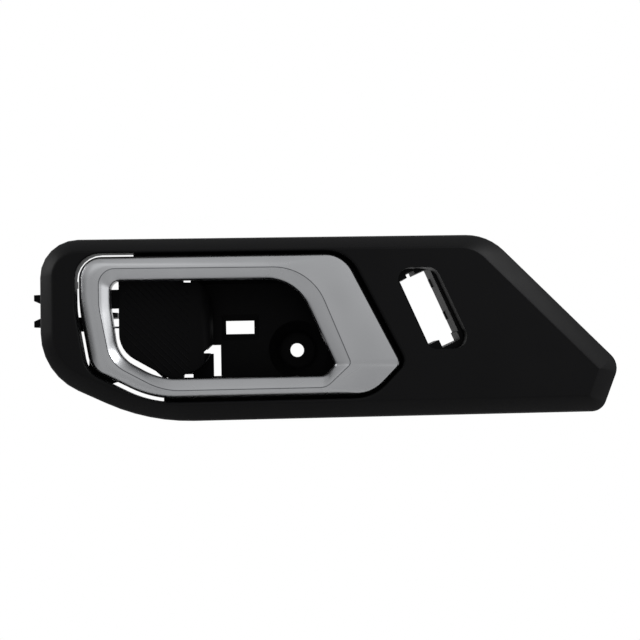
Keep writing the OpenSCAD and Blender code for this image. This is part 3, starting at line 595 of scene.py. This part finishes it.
def sweepTree():
    tree = bpy.data.node_groups.new("sweptBar", "GeometryNodeTree")
    tree.interface.new_socket("Geometry", in_out="INPUT", socket_type="NodeSocketGeometry")
    for label, value in (("Radius", 0.0005), ("Sides", 12), ("Spacing", 0.0005)):
        kind = "NodeSocketInt" if label == "Sides" else "NodeSocketFloat"
        socket = tree.interface.new_socket(label, in_out="INPUT", socket_type=kind)
        socket.default_value = value
    tree.interface.new_socket("Finish", in_out="INPUT", socket_type="NodeSocketMaterial")
    tree.interface.new_socket("Geometry", in_out="OUTPUT", socket_type="NodeSocketGeometry")
    source, out = tree.nodes.new("NodeGroupInput"), tree.nodes.new("NodeGroupOutput")
    path = tree.nodes.new("GeometryNodeMeshToCurve")
    even = tree.nodes.new("GeometryNodeResampleCurve")
    even.mode = "LENGTH"
    outline = tree.nodes.new("GeometryNodeCurvePrimitiveCircle")
    sweep = tree.nodes.new("GeometryNodeCurveToMesh")
    sweep.inputs["Fill Caps"].default_value = True
    real = tree.nodes.new("GeometryNodeRealizeInstances")
    paint = tree.nodes.new("GeometryNodeSetMaterial")
    links = tree.links
    links.new(source.outputs["Geometry"], path.inputs["Mesh"])
    links.new(path.outputs["Curve"], even.inputs["Curve"])
    links.new(source.outputs["Spacing"], even.inputs["Length"])
    links.new(source.outputs["Radius"], outline.inputs["Radius"])
    links.new(source.outputs["Sides"], outline.inputs["Resolution"])
    links.new(even.outputs["Curve"], sweep.inputs["Curve"])
    links.new(outline.outputs["Curve"], sweep.inputs["Profile Curve"])
    links.new(sweep.outputs["Mesh"], real.inputs["Geometry"])
    links.new(real.outputs["Geometry"], paint.inputs["Geometry"])
    links.new(source.outputs["Finish"], paint.inputs["Material"])
    links.new(paint.outputs["Geometry"], out.inputs["Geometry"])
    return tree


barTree = sweepTree()


def sweptMesh(name, paths, radius, sides, spacing, mat):
    wires = bpy.data.meshes.new(name + "Path")
    verts, edges = [], []
    for p in paths:
        edges += [(len(verts) + k, len(verts) + k + 1) for k in range(len(p) - 1)]
        verts += [onDoor(*q) for q in p]
    wires.from_pydata(verts, edges, [])
    holder = bpy.data.objects.new(name + "Path", wires)
    scene.collection.objects.link(holder)
    sweep = holder.modifiers.new("sweep", "NODES")
    sweep.node_group = barTree
    sizes = {"Radius": radius * mm, "Sides": sides, "Spacing": spacing * mm, "Finish": finish[mat]}
    for item in barTree.interface.items_tree:
        if item.in_out == "INPUT" and item.name in sizes:
            sweep[item.identifier] = sizes[item.name]
    look = bpy.context.evaluated_depsgraph_get()
    mesh = bpy.data.meshes.new_from_object(holder.evaluated_get(look))
    holder.modifiers.clear()
    bpy.data.objects.remove(holder)
    mesh.name = name
    return mesh


spring = {"wire": 0.9, "turns": 4, "coil": 2.07, "low": 6.3, "high": 11.6, "hinge": (-86.5, 30.0),
          "movingLeg": 2.8, "fixedLeg": 9.0, "fixedFall": 5.3, "fixedLift": 0.1,
          "step": 8, "sides": 14, "spacing": 0.25, "sharp": 50}


def springPath(s):
    # a quarter turn less at each end than whole turns, and a straight leg from both
    pitch = (s["high"] - s["low"] - s["wire"]) / s["turns"]

    def coil(a):
        r = math.radians(a)
        return Vector((s["hinge"][0] + s["coil"] * math.cos(r), s["low"] + s["wire"] / 2 + pitch * a / 360,
                       s["hinge"][1] + s["coil"] * math.sin(r)))
    first, last = 90, 360 * s["turns"] - 90
    path = [coil(first) + Vector((-s["movingLeg"], -pitch / 4, 0))]
    path += [coil(a) for a in range(first, last + 1, s["step"])]
    path.append(coil(last) + Vector((s["fixedLeg"], s["fixedLift"], -s["fixedFall"])))
    return path


def makeSpring(s):
    mesh = sweptMesh("hingeSpring", [springPath(s)], s["wire"] / 2, s["sides"], s["spacing"], "springWire")
    smoothed(mesh, s["sharp"])
    piece = bpy.data.objects.new("hingeSpring", mesh)
    scene.collection.objects.link(piece)
    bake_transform(piece)
    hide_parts("return_spring")
    print("hinge spring:", len(mesh.polygons), "faces")


makeSpring(spring)

hatch = {"area": [(-76.8, 33, 5), (-48.6, 33, 2), (-48.6, -9.6, 2), (-60, -9.6, 3), (-76.8, 4, 9)],
         "middle": (-62, 12), "pitch": 2.3, "angle": -45, "reach": 40, "probe": 0.25, "shortest": 2,
         "width": 0.5, "height": 0.14, "sides": 16, "spacing": 50, "sharp": 50,
         "padLeft": 79.1, "padNose": 38.3, "padZ": 26.8, "padFall": 5.0}


def hatchPaths(h):
    # slanted lines over the thumb pad, each from where it enters the area to where it leaves
    a = math.radians(h["angle"])
    along, across = Vector((math.cos(a), math.sin(a))), Vector((-math.sin(a), math.cos(a)))
    radius = ((h["width"] / 2) ** 2 + h["height"] ** 2) / (2 * h["height"])
    sink = radius - h["height"]
    slope = h["padFall"] / (h["padLeft"] - h["padNose"])
    lines, probes = int(h["reach"] / 2), int(h["reach"] / h["probe"])
    paths = []
    for k in range(-lines, lines + 1):
        run = []
        for j in range(-probes, probes + 1):
            p = Vector(h["middle"]) + across * h["pitch"] * k + along * h["probe"] * j
            if insideOutline(h["area"], p.x, p.y):
                run.append(p)
        if len(run) * h["probe"] > h["shortest"]:
            ends = (run[0], run[-1])
            paths.append([(q.x, q.y, h["padZ"] - slope * (q.x + h["padLeft"]) - sink) for q in ends])
    return paths, radius


def makeHatch(h):
    paths, radius = hatchPaths(h)
    mesh = sweptMesh("padRidges", paths, radius, h["sides"], h["spacing"], "blackBowlPlastic")
    smoothed(mesh, h["sharp"])
    addPiece("padRidges", mesh, None, "housing")
    print("pad ridges:", len(paths))


makeHatch(hatch)

# finishes of the pieces that keep their CAD mesh, by the start of the name
cadFinish = {"lever_core": "blackCorePlastic", "hinge_pin": "groundSteel", "pin_retainer": "springWire",
             "rest_bumper": "stopRubber", "open_stop_pad": "stopRubber",
             "bowl_screw": "blackZinc", "shell_screw": "blackZinc", "panel_clip": "springWire"}
for name, node in nodes.items():
    for start, mat in cadFinish.items():
        if name.startswith(start):
            node.data.materials.clear()
            node.data.materials.append(finish[mat])
print("finishes on the CAD pieces")

# in metres
floor = {"middle": (0.015, 0), "radius": 0.3, "height": -0.25, "thick": 0.01, "segments": 96,
         "dark": (0.78, 0.78, 0.78), "light": (0.82, 0.82, 0.82), "clouds": 6, "rough": 0.8}


def makeFloor(f):
    body = bmesh.new()
    bmesh.ops.create_cone(body, cap_ends=True, segments=f["segments"], radius1=f["radius"],
                          radius2=f["radius"], depth=f["thick"])
    bmesh.ops.translate(body, verts=body.verts, vec=(*f["middle"], f["height"] - f["thick"] / 2))
    mesh = bpy.data.meshes.new("paleFloor")
    body.to_mesh(mesh)
    body.free()
    mat, tree, skin, place = newMaterial("paleFloor")
    cloud = tree.nodes.new("ShaderNodeTexNoise")
    cloud.inputs["Scale"].default_value = f["clouds"]
    tree.links.new(place.outputs[0], cloud.inputs["Vector"])
    mixColour(tree, cloud.outputs["Fac"], f["dark"], f["light"], skin.inputs["Base Color"])
    skin.inputs["Roughness"].default_value = f["rough"]
    mesh.materials.append(mat)
    piece = bpy.data.objects.new("paleFloor", mesh)
    scene.collection.objects.link(piece)


makeFloor(floor)
print("floor")
